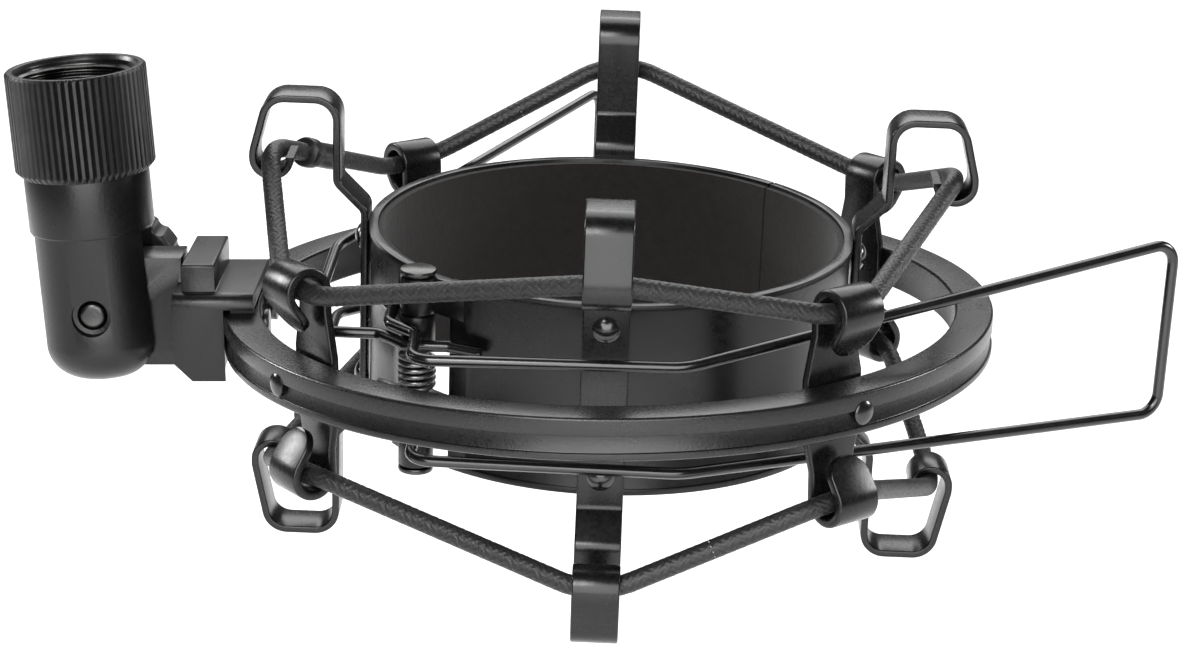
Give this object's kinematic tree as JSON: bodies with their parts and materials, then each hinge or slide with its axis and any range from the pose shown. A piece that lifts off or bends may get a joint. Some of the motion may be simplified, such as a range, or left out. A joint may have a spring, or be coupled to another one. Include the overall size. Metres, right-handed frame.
{
  "type": "microphone shock mount",
  "caption": "Spider shock mount for a studio microphone: a hinged clamp basket hung in a rigid ring by elastic cords, with wire squeeze handles and a tilting threaded stand adapter.",
  "frame": {"origin": "centre of the outer ring, which is also the centre of the clamp basket", "axes": "+Z along the outer ring's axis, towards the side with the mouth of the stand thread; +X from the stand adapter across the ring to the end of the front handle; +Y away from the viewer, to the back of the ring"},
  "size_m": [0.1574, 0.1277, 0.0704],
  "materials": {
    "ring_paint": "satin black powder coat with a fine grain",
    "strip_paint": "satin black powder coat on bent steel strip",
    "shell_paint": "satin black powder coat on rolled steel sheet",
    "rivet_paint": "semi-gloss black, domed heads",
    "wire_paint": "smooth satin black wire",
    "collar_paint": "satin black, fluted grip",
    "adapter_paint": "satin black powder coat with a fine grain",
    "arm_paint": "satin black powder coat with a fine grain",
    "knob_plastic": "matt moulded black",
    "washer_plastic": "dark fibre",
    "liner_felt": "dark brownish flock",
    "cord_braid": "black braid over an elastic core",
    "sleeve_rubber": "smooth black heat-shrink tube",
    "pad_rubber": "thin black rubber",
    "pin_steel": "blackened steel",
    "spring_steel": "spring steel with a light oil",
    "screw_steel": "blackened steel"
  },
  "bodies": {
    "collar": {"thread_collar": "collar_paint", "retaining_ring": "spring_steel"},
    "adapter": {"adapter_tube": "adapter_paint"},
    "knob": {"tilt_knob": "knob_plastic", "pivot_bolt": "pin_steel"},
    "ring": {"arm_bracket": "arm_paint", "arm_pad": "pad_rubber", "arm_screws": "screw_steel", "outer_ring": "ring_paint", "friction_washers": "washer_plastic", "back_right_post": "strip_paint", "back_left_post": "strip_paint", "front_left_post": "strip_paint", "front_right_post": "strip_paint", "post_rivets": "rivet_paint", "upper_cord": "cord_braid", "lower_cord": "cord_braid", "upper_cord_sleeve": "sleeve_rubber", "lower_cord_sleeve": "sleeve_rubber"},
    "cradle": {"hinge_pin": "pin_steel", "torsion_spring": "spring_steel"},
    "front_jaw": {"front_shell": "shell_paint", "front_liner": "liner_felt", "front_shell_rivets": "rivet_paint", "front_hook": "strip_paint", "right_hook": "strip_paint", "rear_handle": "wire_paint"},
    "rear_jaw": {"rear_shell": "shell_paint", "rear_liner": "liner_felt", "rear_shell_rivets": "rivet_paint", "back_hook": "strip_paint", "left_hook": "strip_paint", "front_handle": "wire_paint"}
  },
  "joints": [
    {"name": "collar_spin", "type": "hinge", "parent": "collar", "child": "adapter", "pos_m": [-0.07087, 0, 0.02257], "axis": [-0.0541, 0, 0.9985], "continuous": true},
    {"name": "knob_turn", "type": "hinge", "parent": "adapter", "child": "knob", "pos_m": [-0.06975, 0, 0.0018], "axis": [0, 1, 0], "continuous": true},
    {"name": "tilt", "type": "hinge", "parent": "adapter", "child": "ring", "pos_m": [-0.06975, 0, 0.0018], "axis": [0, 1, 0], "range_deg": [-20, 86]},
    {"name": "float", "type": "slide", "parent": "ring", "child": "cradle", "axis": [0, 0, 1], "range_m": [-0.0015, 0.0015], "stiffness_N_per_m": 2400, "deforming": ["upper_cord", "lower_cord"]},
    {"name": "front_jaw_open", "type": "hinge", "parent": "cradle", "child": "front_jaw", "pos_m": [-0.02485, -0.02378, -0.00038], "axis": [-0.0349, 0.0523, -0.998], "range_deg": [0, 3.5], "stiffness_Nm_per_rad": 0.4, "springref_deg": -9.74},
    {"name": "rear_jaw_open", "type": "hinge", "parent": "cradle", "child": "rear_jaw", "pos_m": [-0.02485, -0.02378, -0.00038], "axis": [0.0349, -0.0523, 0.998], "range_deg": [0, 3.5], "stiffness_Nm_per_rad": 0.4, "springref_deg": -9.74, "deforming": ["torsion_spring"]}
  ],
  "couplings": [
    {"joint": "front_jaw_open", "follows": "rear_jaw_open", "ratio": 1}
  ]
}
